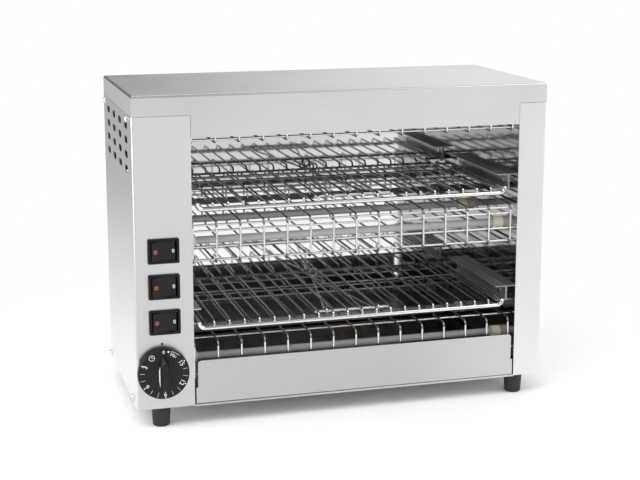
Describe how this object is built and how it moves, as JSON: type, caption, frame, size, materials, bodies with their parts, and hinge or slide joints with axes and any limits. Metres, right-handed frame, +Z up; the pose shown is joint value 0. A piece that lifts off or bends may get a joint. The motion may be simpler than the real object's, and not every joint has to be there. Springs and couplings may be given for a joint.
{
  "type": "salamander grill",
  "caption": "Free-standing open-front salamander toaster in satin steel, with stacked sliding wire racks between guarded quartz tubes, rocker switches, a timer dial and a crumb tray.",
  "frame": {"origin": "on the floor under the middle of the bounding box", "axes": "+X to the right seen from the front, +Y from the open front to the back, +Z up"},
  "size_m": [0.4444, 0.2292, 0.34],
  "materials": {
    "satin_steel": "satin stainless sheet",
    "polished_steel": "mirror-polished stainless sheet",
    "rail_steel": "bright rolled steel",
    "bright_wire": "bright plated wire",
    "quartz": "frosted quartz",
    "heater_alloy": "dull heating alloy",
    "ceramic": "beige fired ceramic",
    "brass": "plain brass",
    "lead_sleeve": "woven heat-proof sleeve",
    "black_plastic": "satin black",
    "lamp_lens": "orange-red lens",
    "grey_plastic": "dark grey",
    "pale_plastic": "ivory",
    "rubber": "matt black",
    "screw_steel": "bright plated steel"
  },
  "bodies": {
    "oven": {"top_cover": "satin_steel", "left_casing": "satin_steel", "right_casing": "satin_steel", "left_inner_wall": "polished_steel", "right_inner_wall": "polished_steel", "ceiling_reflector": "polished_steel", "rear_reflector": "polished_steel", "back_panel": "satin_steel", "base_plate": "satin_steel", "upper_left_rail": "rail_steel", "upper_right_rail": "rail_steel", "lower_left_rail": "rail_steel", "lower_right_rail": "rail_steel", "rail_rivets": "rail_steel", "top_guard": "bright_wire", "middle_guard": "bright_wire", "bottom_guard": "bright_wire", "top_front_tube": "quartz", "top_back_tube": "quartz", "middle_front_tube": "quartz", "middle_back_tube": "quartz", "bottom_front_tube": "quartz", "bottom_back_tube": "quartz", "heater_cores": "heater_alloy", "left_ceramics": "ceramic", "right_ceramics": "ceramic", "tube_terminals": "brass", "heater_leads": "lead_sleeve", "top_switch_housing": "black_plastic", "middle_switch_housing": "black_plastic", "low_switch_housing": "black_plastic", "timer_body": "grey_plastic", "timer_nut": "screw_steel", "terminal_block": "pale_plastic", "wiring_loom": "grey_plastic", "cable_gland": "grey_plastic", "feet": "rubber", "foot_screws": "screw_steel", "foot_nuts": "screw_steel", "side_screws": "screw_steel", "back_screws": "screw_steel"},
    "upper_rack": {"upper_rack": "bright_wire", "upper_rack_pull": "bright_wire"},
    "lower_rack": {"lower_rack": "bright_wire", "lower_rack_pull": "bright_wire"},
    "crumb_tray": {"crumb_tray": "satin_steel"},
    "timer_dial": {"timer_shaft": "screw_steel", "timer_knob": "black_plastic"},
    "top_switch": {"top_rocker": "black_plastic", "top_lamp": "lamp_lens"},
    "middle_switch": {"middle_rocker": "black_plastic", "middle_lamp": "lamp_lens"},
    "low_switch": {"low_rocker": "black_plastic", "low_lamp": "lamp_lens"}
  },
  "joints": [
    {"name": "upper_rack_slide", "type": "slide", "parent": "oven", "child": "upper_rack", "axis": [0, -1, 0], "range_m": [0, 0.15]},
    {"name": "lower_rack_slide", "type": "slide", "parent": "oven", "child": "lower_rack", "axis": [0, -1, 0], "range_m": [0, 0.15]},
    {"name": "crumb_tray_slide", "type": "slide", "parent": "oven", "child": "crumb_tray", "axis": [0, -1, 0], "range_m": [0, 0.17]},
    {"name": "timer_turn", "type": "hinge", "parent": "oven", "child": "timer_dial", "pos_m": [-0.194, -0.0974, 0.0595], "axis": [0, 1, 0], "range_deg": [0, 300]},
    {"name": "low_switch_rock", "type": "hinge", "parent": "oven", "child": "low_switch", "pos_m": [-0.19075, -0.0969, 0.1114], "axis": [0, 0, -1], "range_deg": [0, 14]},
    {"name": "middle_switch_rock", "type": "hinge", "parent": "oven", "child": "middle_switch", "pos_m": [-0.19075, -0.0969, 0.148], "axis": [0, 0, -1], "range_deg": [0, 14]},
    {"name": "top_switch_rock", "type": "hinge", "parent": "oven", "child": "top_switch", "pos_m": [-0.19075, -0.0969, 0.1846], "axis": [0, 0, -1], "range_deg": [0, 14]}
  ]
}
